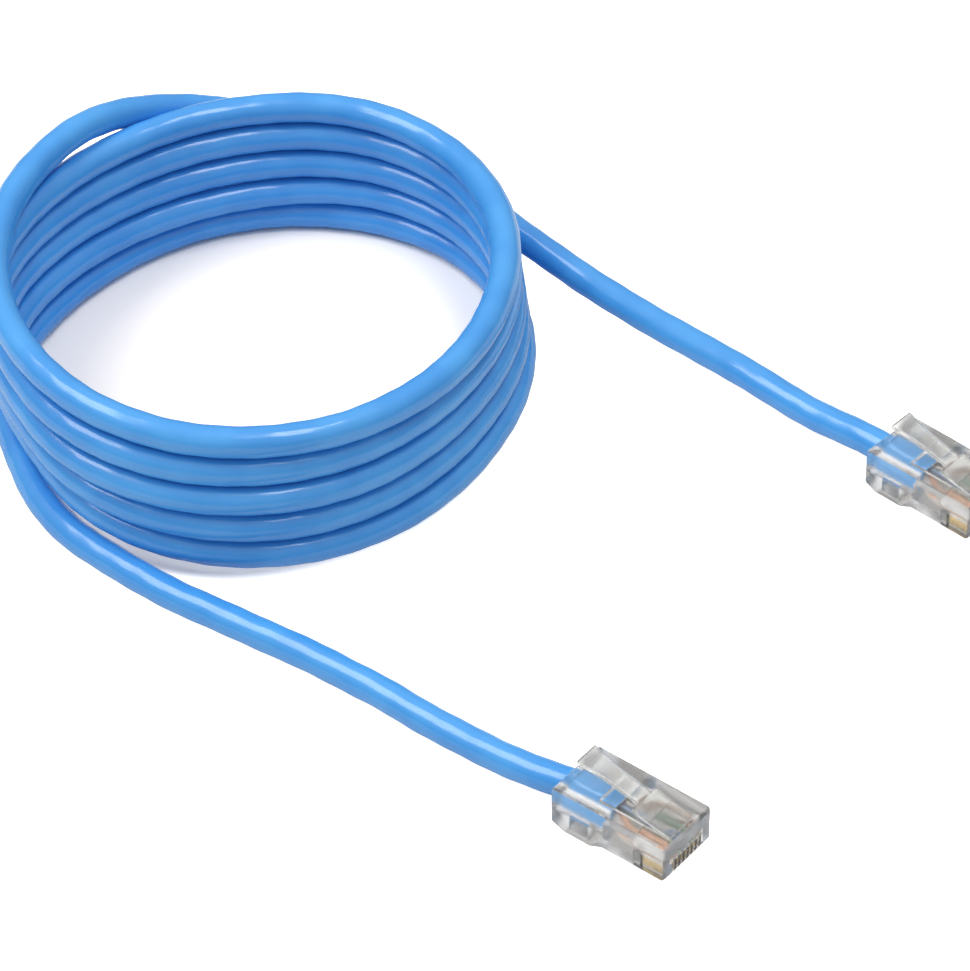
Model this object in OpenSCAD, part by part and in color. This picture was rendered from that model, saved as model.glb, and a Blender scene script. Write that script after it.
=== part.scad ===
// Network patch cable: one coiled cord of four twisted pairs, with a clear
// eight-way modular plug crimped on each end. Millimetres, +Z up.
// The cable lies on the plane z = 0. The origin is on that plane, below the
// middle of the box that holds the two plugs.

/* [Cord] */
// Diameter of the cord over its jacket
cord_d = 5.2; // [5:0.05:5.4]
// Thickness of the jacket
jacket_wall = 0.5; // [0.4:0.05:0.6]
// Diameter of one twisted pair
pair_d = 1.4; // [1.2:0.05:1.5]
// Diameter of one insulated wire
wire_d = 0.88; // [0.8:0.01:0.9]

/* [Coil] */
// Radius of the coil, to the middle of the cord
coil_r = 41.2; // [39:0.1:43]
// How much the coil is longer one way than the other, as a share of its radius
coil_oval = 0.11; // [0:0.01:0.12]
// Direction of the oval's long way
coil_oval_way = 66; // [0:2:180]
// Free height between one turn and the next
turn_gap = 0.1; // [0.1:0.05:0.3]
// Height of the cord's middle where it leaves the coil for the far plug
coil_exit_h = 9.5; // [8:0.5:12]

/* [Plug] */
// Length of a plug, from its cable end to its nose
plug_l = 21.46; // [21.4:0.02:22.4]
// Width of a plug
plug_w = 11.68; // [11.4:0.02:12.4]
// Height of the nose, the part that goes into a jack
nose_h = 6.6; // [6.4:0.05:7.2]
// How far the crimped rear stands below the nose
rear_drop = 1.1; // [0.9:0.05:1.4]
// Length of the crimped rear
rear_l = 9.7; // [9.6:0.05:9.9]
// Bevel on the upright edges of a plug
edge_bevel = 0.35; // [0.2:0.05:0.6]
// Distance from one wire to the next
pin_pitch = 1.02; // [1:0.01:1.04]
// Number of wires and contacts in a plug
pin_count = 8; // [8]
// Thickness of a contact
contact_t = 0.35; // [0.3:0.01:0.38]
// Width of the slot that holds a contact
slot_w = 0.45; // [0.42:0.01:0.5]
// Distance from the nose to the front edge of the contacts
contact_setback = 0.55; // [0.4:0.05:0.8]
// Length of a contact
contact_l = 4.2; // [4:0.1:4.4]

/* [Strain relief] */
// Width of the jacket where the plug squeezes it
squeezed_w = 6; // [5.8:0.1:6.4]
// Height of the jacket where the plug squeezes it
squeezed_h = 4.4; // [4.2:0.05:4.5]
// Distance from a plug's nose to the end of the jacket
jacket_setback = 12.06; // [11.8:0.02:12.4]
// Length of the bar that holds the jacket, along the cord
strain_bar_l = 3.2; // [2.6:0.1:3.6]
// Width of the bar that holds the jacket
strain_bar_w = 7.4; // [6.4:0.1:8]
// Length of the bar that holds the wires, along the cord
wire_bar_l = 1; // [0.8:0.05:1.1]

/* [Latch] */
// Width of the latch in front of its shoulders
latch_w = 6; // [5.8:0.05:6.2]
// Distance from the nose to the locking shoulders
shoulder_setback = 8.36; // [8.2:0.02:8.5]
// Width of the lever behind the shoulders
lever_w = 3.25; // [3:0.05:3.6]
// Width of the lever's end, where a finger presses
lever_end_w = 4.8; // [4:0.1:5.2]
// Length of the latch, from its root to the lever's end
latch_l = 18.3; // [17.6:0.1:18.6]
// Thickness of the latch
latch_t = 0.8; // [0.7:0.05:0.9]
// Angle of the latch above the plug when it is free
latch_angle = 12.5; // [12:0.5:14]

/* [Hidden] */
ends = ["near", "far"];
inner_pairs = ["orange", "green", "blue", "brown"];
pins = [0 : pin_count - 1];

$fn = 48;
eps = 0.01;          // how far a cut runs past a face
fit = 0.1;           // clearance round a piece that a plug holds
running = 0.05;      // clearance round the latch's root
side_gap = 0.2;      // clearance beside the latch

// The round cord is drawn with flat sides. Each lies at this share of the
// round radius, so that the solid is between the inside and the outside circle.
flat_share = 0.9;
coil_sides = 6;
lead_sides = 8;
pair_sides = 4;
wire_sides = 6;
rings_per_turn = 24;

cord_r = cord_d / 2;
bore_r = cord_r - jacket_wall;
coil_pitch = cord_d + turn_gap;

// Where the plugs' cable ends stand: x, y and the direction of the nose.
near_place = [-34.1, -31.4, -38.2];
far_place = [17.9, 45, -42.5];

// Route points of the two free stretches, from the coil to the plug. The
// heights are measured from where a cord lies on the plane.
coil_middle = [-84.5, 65.8];
near_route = [
    [-97, 12.1, 0], [-91.9, 8.9, 0], [-84.2, 4, 0], [-75.7, -1.3, 0],
    [-68.4, -6.5, 0], [-63.4, -10.2, 0], [-57.4, -15.3, 0], [-51.3, -20, 0], [-44.6, -24.7, 0.05]];
far_route = [
    [-31.6, 83.9, 6], [-24.8, 78.9, 4.4], [-18.3, 74.5, 3], [-12, 70.4, 1.8],
    [-5.4, 65.9, 0.8], [0.9, 60.5, 0.2], [7.1, 54.6, 0.2]];

// How far the cord's middle lies aside of and below the mouth's, a little before it.
near_dip = [-0.6, -0.45];
far_dip = [0, 0];

// The coil's angles: where the far stretch joins it, and where it lets the near one go.
coil_from = 46;
coil_to = 2033;
coil_turns = 5;
// Each lower turn stands a little further right and nearer the front than the one above.
turn_lean = [1.05, -0.73];
// How far each turn stands out at the front left, because it was laid by hand.
turn_slack = [0, 0, 1, 1.6, 1.3, 0.7, 0.9];
slack_way = 225;
// The same for the front right.
right_out = [0, 3.1, 1.6, 0.9, 0, -0.2, 0];
right_way = 325;
// How far each turn stands out at the left, and the angles between which it does.
left_out = [0, 5.4, 6.2, 7.3, 7.6, 0];
left_from = 87;
left_most = 168;
left_to = 218;
// Within a turn, the cord goes down to the next one between these angles.
down_from = 189;
down_to = 373;
// The cord first climbs outside the turns, steeply and then gently, and
// comes in over them at the left.
steep_to = 136;
gentle_from = 84;
gentle_to = 143;
gentle_climb = 4.9;
climb_out = 6.45;
over_from = 149;
over_to = 231;
// The last half turn lies on the plane and swings out from under the turn above
// it, and then part of the way back.
aside_from = 1861;
aside_to = 1970;
aside_out = 8.1;
back_to = 2010;
back_in = 4.5;

// --- functions ---
function smooth(t) = let (c = min(max(t, 0), 1)) c * c * (3 - 2 * c);
function unit(v) = v / norm(v);
function turned(p, angle) = [p.x * cos(angle) - p.y * sin(angle), p.x * sin(angle) + p.y * cos(angle)];

// 0 before angle a reaches from, 1 after it reaches to, and smooth between.
function rise(a, from, to) = smooth((a - from) / (to - from));

// How many turns down from the top the cord is, at an angle along the coil.
function turns_down(a) =
    a < down_from ? 0
    : let (k = floor((a - down_from) / 360))
        min(k + rise(a - 360 * k, down_from, down_to), coil_turns);
function coil_height(a) =
    let (climb = coil_turns * coil_pitch + cord_r - coil_exit_h)
    cord_r + (coil_turns - turns_down(a)) * coil_pitch
    - (climb - gentle_climb) * (1 - rise(a, coil_from, steep_to))
    - gentle_climb * (1 - rise(a, gentle_from, gentle_to));
function coil_out(a) =
    climb_out * (1 - rise(a, over_from, over_to))
    + aside_out * rise(a, aside_from, aside_to)
    - back_in * rise(a, aside_to, back_to)
    + turn_slack[floor((a + 450 - slack_way) / 360)] * max(0, cos(a - slack_way))
    + right_out[floor((a + 450 - right_way) / 360)] * pow(max(0, cos(a - right_way)), 2)
    + left_out[floor(a / 360)] * rise(a % 360, left_from, left_most) * (1 - rise(a % 360, left_most, left_to));
function coil_point(a) =
    let (r = coil_r * (1 + coil_oval * cos(2 * (a - coil_oval_way))) + coil_out(a),
         xy = coil_middle + turn_lean * (max(turns_down(a), 1) - 1) + r * [cos(a), sin(a)])
    [xy.x, xy.y, coil_height(a)];

coil_steps = ceil((coil_to - coil_from) / 360 * rings_per_turn);
coil_round = [for (i = [0 : coil_steps]) coil_point(coil_from + (coil_to - coil_from) * i / coil_steps)];
far_way = unit(coil_point(coil_from) - coil_point(coil_from + 1));
near_way = unit(coil_point(coil_to) - coil_point(coil_to - 1));
coil_far_end = coil_round[0] + far_way * cord_d;
coil_near_end = coil_round[coil_steps] + near_way * cord_d;
coil_path = concat([coil_far_end], coil_round, [coil_near_end]);

// A point of a plug's own frame, x from the cable end to the nose.
function in_plug(place, p) =
    let (q = turned([p.x, p.y], place.z)) [place.x + q.x, place.y + q.y, p.z];
function lifted(route) = [for (p = route) p + [0, 0, cord_r]];
// A free stretch, from the coil to the mouth of its plug.
function lead_path(coil_end, way, route, place, dip) =
    concat([coil_end, coil_end + way * cord_d], lifted(route),
           [in_plug(place, [-lead_in, dip.x, cord_z + dip.y])],
           [for (x = [0, mouth_depth]) in_plug(place, [x, 0, cord_z])]);
function reversed(list) = [for (i = [len(list) - 1 : -1 : 0]) list[i]];

// Rings of a tube: corner points round each point of a path, flat side up.
function section(sides, flat_r, shift) =
    [for (k = [0 : sides - 1]) let (a = (k + 0.5) * 360 / sides - 90)
        shift + flat_r / cos(180 / sides) * [cos(a), sin(a)]];
function direction(path, i) =
    unit(path[min(i + 1, len(path) - 1)] - path[max(i - 1, 0)]);
function rings(path, outline) =
    [for (i = [0 : len(path) - 1])
        let (t = direction(path, i), side = unit(cross(t, [0, 0, 1])), up = cross(side, t))
            for (c = outline) path[i] + c.x * side + c.y * up];

// --- sizes inside a plug ---
rear_h = nose_h + rear_drop;
cord_z = rear_h / 2;                 // height of the cord's middle in a plug
mouth_depth = 1.2;                   // how far the round cord goes into the mouth
mouth_r = cord_r + 3 * fit;
jacket_depth = plug_l - jacket_setback;
lead_in = 4;                         // from the cord's last free route point to the mouth
squeezed_top = cord_z + squeezed_h / 2;
squeezed_bottom = cord_z - squeezed_h / 2;
pair_offset = 0.95;                  // from the cord's middle to each pair
pair_spread = 1.6;                   // the same, sideways, where the cord is squeezed
pair_end = jacket_depth + 0.2;
contact_x = plug_l - contact_setback - contact_l;
bar_to_contacts = 0.5;
row_to_bar = 0.2;
fan_to_row = 2;
wire_bar_x = contact_x - wire_bar_l - bar_to_contacts;
row_start = wire_bar_x - row_to_bar; // from here on the wires all lie at one height
fan_end = row_start - fan_to_row;    // and from here on side by side
wire_end = plug_l - 1.1;
row_w = pin_count * pin_pitch + 2 * fit;
row_h = wire_d + 2 * fit;
fan_h = 2 * pair_offset + wire_d + 2 * fit;
wire_flat = wire_d / 2 * cos(180 / wire_sides);
strain_bar_x = 3.2;
bar_sink = 0.3;                      // how deep the bars lie in their windows
contact_foot = rear_drop + 0.35;     // height of a contact's lower edge
bite = 0.5;                          // how deep a contact's teeth bite a wire
root_setback = 1.56;                 // from the nose to the middle of the latch's root
root_sink = 0.4;                     // how far that lies below the plug's top
root_swell = 0.05;                   // how much thicker the root is, all round
channel_l = 12.7;                    // length of the channel below the latch
latch_root_r = latch_t / 2 + root_swell;
latch_root_x = plug_l - root_setback;
lever_lift = 0.35;                   // how far the lever stands above the shoulders
lever_neck = 1.5;                    // how far the lever reaches over the shoulders
lever_flare = 4;                     // length over which the lever widens to its end
latch_root_z = rear_h - root_sink;
shoulder_s = (latch_root_x - (plug_l - shoulder_setback)) / cos(latch_angle);
channel_z = latch_root_z - latch_root_r - running;
channel_x = latch_root_x - channel_l;

// --- cord ---

// A tube along a path, with flat ends square to it. A bore makes it hollow.
module tube(path, outline, bore = []) {
    n = len(outline);
    last = len(path) - 1;
    hollow = len(bore) > 0;
    outer = rings(path, outline);
    inner = hollow ? rings(path, bore) : [];
    base = len(outer);
    function next(k) = (k + 1) % n;
    walls = [for (i = [0 : last - 1], k = [0 : n - 1], half = [0, 1])
        half == 0
            ? [i * n + k, (i + 1) * n + next(k), i * n + next(k)]
            : [i * n + k, (i + 1) * n + k, (i + 1) * n + next(k)]];
    bores = [for (w = hollow ? walls : []) [w[0] + base, w[2] + base, w[1] + base]];
    closed_caps = [[for (k = [0 : n - 1]) k], [for (k = [n - 1 : -1 : 0]) last * n + k]];
    ring_caps = [for (k = [0 : n - 1], end = [0, last], half = [0, 1])
        let (a = end * n + k, b = end * n + next(k), c = a + base, d = b + base,
             f = half == 0 ? [a, b, d] : [a, d, c])
            end == 0 ? f : reversed(f)];
    polyhedron(concat(outer, inner), concat(walls, bores, hollow ? ring_caps : closed_caps));
}

module jacket(path, sides) {
    color("#4aa3e8") tube(path, section(sides, cord_r * flat_share, [0, 0]),
                          section(sides, bore_r * flat_share, [0, 0]));
}

module coil() { jacket(coil_path, coil_sides); }

near_path = lead_path(coil_near_end, near_way, near_route, near_place, near_dip);
far_path = lead_path(coil_far_end, far_way, far_route, far_place, far_dip);
module near_lead() { jacket(near_path, lead_sides); }
module far_lead() { jacket(far_path, lead_sides); }

// One twisted pair, from the far plug through the whole cord to the near one.
pair_colors = ["orange", "green", "mediumblue", "saddlebrown"];
// Sideways and upward place of each pair, seen along the near plug's nose.
pair_sides_up = [[1, 0], [0, -1], [0, 1], [-1, 0]];
inner_x = [mouth_depth + 2, pair_end];
function inside(place) = [for (x = inner_x) in_plug(place, [x, 0, cord_z])];
whole_path = concat(reversed(inside(far_place)), reversed(far_path), coil_round, near_path, inside(near_place));

module pair(i) {
    place = pair_sides_up[i];
    n = len(whole_path);
    squeezed = [for (k = [0 : n - 1]) (k < len(inner_x) || k >= n - len(inner_x)) ? pair_spread : pair_offset];
    path = [for (k = [0 : n - 1])
        let (t = direction(whole_path, k), side = unit(cross(t, [0, 0, 1])), up = cross(side, t))
            whole_path[k] + place.x * squeezed[k] * side + place.y * pair_offset * up];
    outline = [for (a = [0, 90, 180, 270]) pair_d / 2 * [cos(a), sin(a)]];
    color(pair_colors[i]) tube(path, outline);
}

// --- plug ---

module at_plug(place) { translate([place.x, place.y, 0]) rotate(place.z) children(); }

// A box from x0 to x1 and z0 to z1, centred on the plug's middle plane.
module span(x0, x1, w, z0, z1) { translate([x0, -w / 2, z0]) cube([x1 - x0, w, z1 - z0]); }

// A flattened round bar along x, w wide and h high.
module flat_round(x0, x1, w, h) {
    translate([x0, 0, cord_z]) rotate([90, 0, 90]) linear_extrude(x1 - x0) {
        square([w - h, h], center = true);
        for (s = [-1, 1]) translate([s * (w - h) / 2, 0]) circle(d = h);
    }
}

// Outline of a plug seen from its side: the crimped rear hangs below the nose.
module side_outline() {
    rear_slope = 2.5;
    top_bevel = 0.5;
    polygon([[0, rear_drop], [rear_slope, 0], [rear_l - 2 * rear_drop, 0], [rear_l, rear_drop],
             [plug_l - top_bevel, rear_drop], [plug_l, rear_drop + top_bevel],
             [plug_l, rear_h - top_bevel], [plug_l - top_bevel, rear_h],
             [top_bevel, rear_h], [0, rear_h - top_bevel]]);
}

module top_outline() {
    w = plug_w / 2;
    b = edge_bevel;
    polygon([[0, b - w], [b, -w], [plug_l - b, -w], [plug_l, b - w],
             [plug_l, w - b], [plug_l - b, w], [b, w], [0, w - b]]);
}

function pin_y(i) = (i - (pin_count - 1) / 2) * pin_pitch;

module housing() {
    color("#dfe8ea", 0.45) difference() {
        intersection() {
            rotate([90, 0, 0]) linear_extrude(plug_w, center = true) side_outline();
            translate([0, 0, -eps]) linear_extrude(rear_h + 2 * eps) top_outline();
        }
        // Mouth, and the room for the squeezed jacket.
        translate([-eps, 0, cord_z]) rotate([0, 90, 0]) cylinder(r = mouth_r, h = mouth_depth + eps);
        flat_round(mouth_depth - eps, jacket_depth + eps, squeezed_w + 2 * fit, squeezed_h + 2 * fit);
        // Room for the wires, where they fan out and where they lie in a row.
        span(jacket_depth, row_start, row_w, cord_z - fan_h / 2, cord_z + fan_h / 2);
        span(row_start - eps, wire_end + fit, row_w, cord_z - row_h / 2, cord_z + row_h / 2);
        // Windows for the two bars.
        span(strain_bar_x - fit, strain_bar_x + strain_bar_l + fit, strain_bar_w + 2 * fit, -eps, cord_z - squeezed_h / 4);
        span(wire_bar_x - fit, wire_bar_x + wire_bar_l + fit, row_w, 0, cord_z);
        // Slots for the contacts, open below and at the nose.
        for (i = pins) translate([0, pin_y(i), 0]) span(contact_x - fit, plug_l + eps, slot_w, 0, cord_z);
        // Channel for the latch, with the groove of its root.
        span(channel_x, latch_root_x, latch_w + 2 * side_gap, channel_z, rear_h + eps);
        translate([latch_root_x, 0, latch_root_z]) rotate([90, 0, 0])
            cylinder(r = latch_root_r + running, h = latch_w + 2 * side_gap, center = true);
    }
}

// The latch in its own frame: the root's middle at the origin, the lever
// towards -x, and then tipped up.
module latch() {
    color("#e6eef0", 0.6) translate([latch_root_x, 0, latch_root_z]) rotate([0, latch_angle, 0]) {
        rotate([90, 0, 0]) cylinder(r = latch_root_r, h = latch_w, center = true);
        translate([-shoulder_s, -latch_w / 2, -latch_t / 2]) cube([shoulder_s, latch_w, latch_t]);
        translate([0, 0, lever_lift - latch_t / 2]) linear_extrude(latch_t)
            polygon([[lever_neck - shoulder_s, -lever_w / 2], [lever_neck - shoulder_s, lever_w / 2],
                     [lever_flare - latch_l, lever_w / 2], [-latch_l, lever_end_w / 2],
                     [-latch_l, -lever_end_w / 2], [lever_flare - latch_l, -lever_w / 2]]);
    }
}

// The stretch of jacket that the plug squeezes flat.
module jacket_end() {
    color("#3f97e0") difference() {
        flat_round(mouth_depth, jacket_depth, squeezed_w, squeezed_h);
        flat_round(mouth_depth - eps, jacket_depth + eps, squeezed_w - 2 * jacket_wall, squeezed_h - 2 * jacket_wall);
    }
}

// Bar pressed up against the jacket, broken out of the housing by the crimp.
module strain_bar() {
    color("#d5dfe2", 0.6) span(strain_bar_x, strain_bar_x + strain_bar_l, strain_bar_w, bar_sink, squeezed_bottom);
}

// Bar pressed up against the eight wires.
module wire_bar() {
    color("#d5dfe2", 0.6)
        span(wire_bar_x, wire_bar_x + wire_bar_l, row_w - 2 * fit, rear_drop + bar_sink, cord_z - wire_flat);
}

// Where each wire starts at the end of its pair: sideways and up.
wire_starts = [[-2.1, 0], [-1.1, 0], [-0.48, -1], [-0.48, 1], [0.48, 1], [0.48, -1], [1.1, 0], [2.1, 0]];
wire_colors = ["bisque", "darkorange", "palegreen", "royalblue", "lightblue", "green", "tan", "sienna"];

module wire(i) {
    straight = 0.4;
    start = [wire_starts[i].x, wire_starts[i].y * pair_offset + cord_z];
    path = [[pair_end, start.x, start.y], [pair_end + straight, start.x, start.y],
            [fan_end, pin_y(i), start.y], [row_start, pin_y(i), cord_z], [wire_end, pin_y(i), cord_z]];
    color(wire_colors[i]) tube(path, section(wire_sides, wire_flat, [0, 0]));
}

// A gold-plated blade with two teeth that bite through its wire's insulation.
module contact(i) {
    corner_r = 0.6;
    tooth_w = 0.9;
    wire_bottom = cord_z - wire_flat;
    top = wire_bottom - 0.1;
    front = contact_x + contact_l;
    color("gold") translate([0, pin_y(i), 0]) rotate([90, 0, 0]) linear_extrude(contact_t, center = true) {
        translate([contact_x, contact_foot]) square([contact_l - corner_r, top - contact_foot]);
        translate([front - 2 * corner_r, contact_foot + corner_r]) square([2 * corner_r, top - contact_foot - corner_r]);
        translate([front - corner_r, contact_foot + corner_r]) circle(r = corner_r);
        for (x = [contact_x + 0.3, front - 0.9 - tooth_w])
            polygon([[x, top - eps], [x + tooth_w, top - eps], [x + tooth_w / 2, wire_bottom + bite]]);
    }
}

// --- least gap of the coil to itself, measured ring by ring ---
function flat_gap(p, q, out) =
    let (d = q - p, v = [d * out, d.z])
    max([for (k = [0 : coil_sides - 1]) let (a = k * 60 + 90) abs(v * [cos(a), sin(a)])])
    - 2 * cord_r * flat_share;
gaps = [for (i = [0 : coil_steps], j = [i + 12 : coil_steps])
    let (p = coil_round[i], q = coil_round[j], d = q - p, t = direction(coil_round, i))
        if (abs(t * d) < coil_pitch) flat_gap(p, q, unit(cross(t, [0, 0, 1])))];
echo(least_gap_of_coil = min(gaps));
function path_length(path) =
    len(path) < 2 ? 0 : [for (i = [1 : len(path) - 1]) norm(path[i] - path[i - 1])] * [for (i = [1 : len(path) - 1]) 1];
echo(length_of_cord = path_length(whole_path));

near_lead();
coil();
far_lead();
for (i = [0 : len(inner_pairs) - 1])
    pair(i);
for (e = ends) {
    place = e == "near" ? near_place : far_place;
    at_plug(place) housing();
    at_plug(place) latch();
    at_plug(place) jacket_end();
    at_plug(place) strain_bar();
    at_plug(place) wire_bar();
    for (i = pins) {
        at_plug(place) wire(i);
        at_plug(place) contact(i);
    }
}
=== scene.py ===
"""Dresses a coiled network patch cable: one glossy blue cord and a clear plug on each end.

Everything is in metres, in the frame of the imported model, with +Z up.
"""

from __future__ import annotations

import logging
import math
from dataclasses import dataclass, field
from enum import Enum
from typing import Any, Callable, Sequence

import bmesh
import bpy
from mathutils import Matrix, Vector


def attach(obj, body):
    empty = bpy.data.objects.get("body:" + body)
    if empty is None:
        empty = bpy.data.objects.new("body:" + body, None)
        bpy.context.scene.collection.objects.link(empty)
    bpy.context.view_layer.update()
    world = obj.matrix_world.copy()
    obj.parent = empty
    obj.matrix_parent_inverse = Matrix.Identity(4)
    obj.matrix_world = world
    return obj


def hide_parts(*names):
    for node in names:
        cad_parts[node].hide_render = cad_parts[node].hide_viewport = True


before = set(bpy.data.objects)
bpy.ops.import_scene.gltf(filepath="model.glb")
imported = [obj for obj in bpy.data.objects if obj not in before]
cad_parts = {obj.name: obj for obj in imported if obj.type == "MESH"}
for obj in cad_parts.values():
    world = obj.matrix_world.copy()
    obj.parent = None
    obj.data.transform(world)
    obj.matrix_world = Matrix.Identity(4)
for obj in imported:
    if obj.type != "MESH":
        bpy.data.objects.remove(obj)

LOG = logging.getLogger("patch_cable")
MM = 0.001
UP = Vector((0.0, 0.0, 1.0))
CABLE_BODY = "cable"

Colour = tuple[float, float, float]
Point2 = tuple[float, float]

# Sizes that the cord and the plugs share, in millimetres
WAYS = 8                 # wires and contacts in a plug
CORD_Z = 3.85            # from the plane to the cord's middle, in a plug
JACKET_DEPTH = 9.4       # how deep the jacket goes into a plug
PRESSED = (6.0, 4.4)     # the jacket's width and height in a plug
PAIR_OFFSET = 0.95       # from the cord's middle to each pair

MIX_SHARE, MIX_FIRST, MIX_SECOND, MIX_RESULT = 0, 6, 7, 2    # a Mix node's colour sockets


# ------------------------------------------------------------
# Shader maths
# ------------------------------------------------------------


def linear(red: int, green: int, blue: int) -> Colour:
    """A colour of 0 to 255 per channel, as the scene-linear values that the shaders use."""
    return tuple(c / 255 / 12.92 if c <= 10 else ((c / 255 + 0.055) / 1.055) ** 2.4
                 for c in (red, green, blue))


class Sock:
    """A number that a node puts out, with the operators that the finishes use."""

    def __init__(self, finish: "Nodes", socket: bpy.types.NodeSocket) -> None:
        """Wraps one output socket of a material's node tree."""
        self.finish = finish
        self.socket = socket

    def _math(self, operation: str, *values: "Sock | float") -> "Sock":
        """Adds one Math node for an operation on numbers."""
        return self.finish.add("ShaderNodeMath", {"operation": operation},
                               dict(enumerate(values)))

    def __add__(self, other: "Sock | float") -> "Sock":
        """The sum."""
        return self._math("ADD", self, other)

    __radd__ = __add__

    def __mul__(self, other: "Sock | float") -> "Sock":
        """The product."""
        return self._math("MULTIPLY", self, other)

    __rmul__ = __mul__

    def __rsub__(self, other: float) -> "Sock":
        """The difference from a plain number."""
        return self._math("SUBTRACT", other, self)

    def sine(self) -> "Sock":
        """The sine of the number, in radians."""
        return self._math("SINE", self)

    def between(self, low: float, high: float) -> "Sock":
        """0 below low, 1 above high and smooth in between."""
        return self.finish.add("ShaderNodeMapRange", {"interpolation_type": "SMOOTHSTEP"},
                               {"Value": self, "From Min": low, "From Max": high})


class Tree:
    """A node tree whose nodes all come from one method."""

    def __init__(self, tree: bpy.types.NodeTree) -> None:
        """Empties the tree."""
        self.tree = tree
        tree.nodes.clear()

    def put(self, socket: bpy.types.NodeSocket, value: Any) -> None:
        """Links a socket or writes a plain value to it.

        Args:
            socket: the input that gets the value.
            value: a Sock, an output socket, a colour or another plain value.
        """
        if isinstance(value, Sock):
            value = value.socket
        if isinstance(value, bpy.types.NodeSocket):
            self.tree.links.new(value, socket)
        elif socket.type == "RGBA" and len(value) == 3:
            socket.default_value = (*value, 1.0)
        else:
            socket.default_value = value

    def node(self, kind: str, settings: dict[str, Any] | None = None,
             inputs: dict[Any, Any] | None = None) -> bpy.types.Node:
        """Adds one node.

        Args:
            kind: Blender's name of the node's type.
            settings: the node's own settings, which are set first.
            inputs: values or links for its input sockets, by name or number.

        Returns:
            The node.
        """
        node = self.tree.nodes.new(kind)
        for name, value in (settings or {}).items():
            setattr(node, name, value)
        for name, value in (inputs or {}).items():
            self.put(node.inputs[name], value)
        return node


class Nodes(Tree):
    """The node tree of one material, with a Principled shader and an output."""

    def __init__(self, name: str) -> None:
        """Makes an empty material with its shader."""
        self.material = bpy.data.materials.new(name)
        self.material.use_nodes = True
        super().__init__(self.material.node_tree)
        self.output = self.node("ShaderNodeOutputMaterial")
        self.shader = self.node("ShaderNodeBsdfPrincipled")
        self.put(self.output.inputs["Surface"], self.shader.outputs[0])

    def add(self, kind: str, settings: dict[str, Any] | None = None,
            inputs: dict[Any, Any] | None = None, output: Any = 0) -> Sock:
        """Adds one node like node() and gives one of its outputs, by name or number."""
        return Sock(self, self.node(kind, settings, inputs).outputs[output])

    def place(self) -> Sock:
        """Object coordinates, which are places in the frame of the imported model."""
        return self.add("ShaderNodeTexCoord", output="Object")

    def along(self, name: str) -> Sock:
        """A number stored on the mesh's points."""
        return self.add("ShaderNodeAttribute", {"attribute_name": name}, output="Fac")

    def noise(self, scale: float, detail: float = 3.0) -> Sock:
        """Smooth noise with features of about 1 / scale metres."""
        return self.add("ShaderNodeTexNoise", {},
                        {"Vector": self.place(), "Scale": scale, "Detail": detail})

    def mix(self, share: Sock | float, first: Any, second: Any) -> Sock:
        """A colour between two colours."""
        return self.add("ShaderNodeMix", {"data_type": "RGBA"},
                        {MIX_SHARE: share, MIX_FIRST: first, MIX_SECOND: second}, MIX_RESULT)

    def bump(self, height: Sock, distance: float, strength: float) -> None:
        """Makes the surface follow a height, distance metres deep."""
        normal = self.add("ShaderNodeBump", {},
                          {"Height": height, "Distance": distance, "Strength": strength})
        self.put(self.shader.inputs["Normal"], normal)

    def set(self, **values: Any) -> None:
        """Writes the shader's inputs, named with _ for a space."""
        for name, value in values.items():
            self.put(self.shader.inputs[name.replace("_", " ")], value)


# ------------------------------------------------------------
# Finishes
# ------------------------------------------------------------


@dataclass(frozen=True)
class JacketFinish:
    """Glossy blue vinyl over twisted pairs, paler where the plugs press it."""

    length: float
    colour: Colour = linear(78, 164, 236)
    deep: Colour = linear(68, 154, 230)
    stretched: Colour = linear(96, 184, 255)
    pale_to: tuple[float, float] = (0.0085, 0.0105)
    roughness: float = 0.2

    def material(self) -> bpy.types.Material:
        """The jacket's material, with faint clouds and a fine grain."""
        nodes = Nodes("blue_jacket")
        cloud = nodes.noise(90.0, 2.0).between(0.35, 0.65)
        far = nodes.along("far")
        full, none = self.pale_to
        pale = ((0.0 - far).between(-none, -full)
                + far.between(self.length - none, self.length - full))
        blue = nodes.mix(cloud, self.deep, self.colour)
        nodes.set(Base_Color=nodes.mix(pale, blue, self.stretched), IOR=1.5,
                  Roughness=self.roughness + 0.08 * nodes.noise(400.0, 4.0),
                  Coat_Weight=0.3, Coat_Roughness=0.1)
        nodes.bump(nodes.noise(2600.0), 0.00002, 0.35)
        return nodes.material


@dataclass(frozen=True)
class ClearFinish:
    """Moulded clear plastic, with faint flow marks."""

    name: str
    tint: Colour = (0.94, 0.94, 0.935)
    roughness: float = 0.22
    flow: float = 0.00003

    def material(self) -> bpy.types.Material:
        """The clear plastic's material."""
        nodes = Nodes(self.name)
        nodes.set(Base_Color=self.tint, IOR=1.5, Transmission_Weight=1.0,
                  Roughness=self.roughness + 0.06 * nodes.noise(500.0, 2.0))
        nodes.bump(nodes.noise(420.0, 2.0), self.flow, 0.6)
        return nodes.material


INSULATION: dict[str, Colour] = {
    "orange": linear(250, 202, 172), "green": linear(164, 190, 166),
    "blue": linear(158, 178, 210), "brown": linear(192, 168, 152)}


def winding_stripe(nodes: Nodes) -> Sock:
    """1 on the stripe that winds round a wire, and 0 beside it."""
    radians_per_metre = 900.0
    winding = nodes.along("round") + nodes.along("far") * radians_per_metre
    return winding.sine().between(0.55, 0.7)


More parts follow.
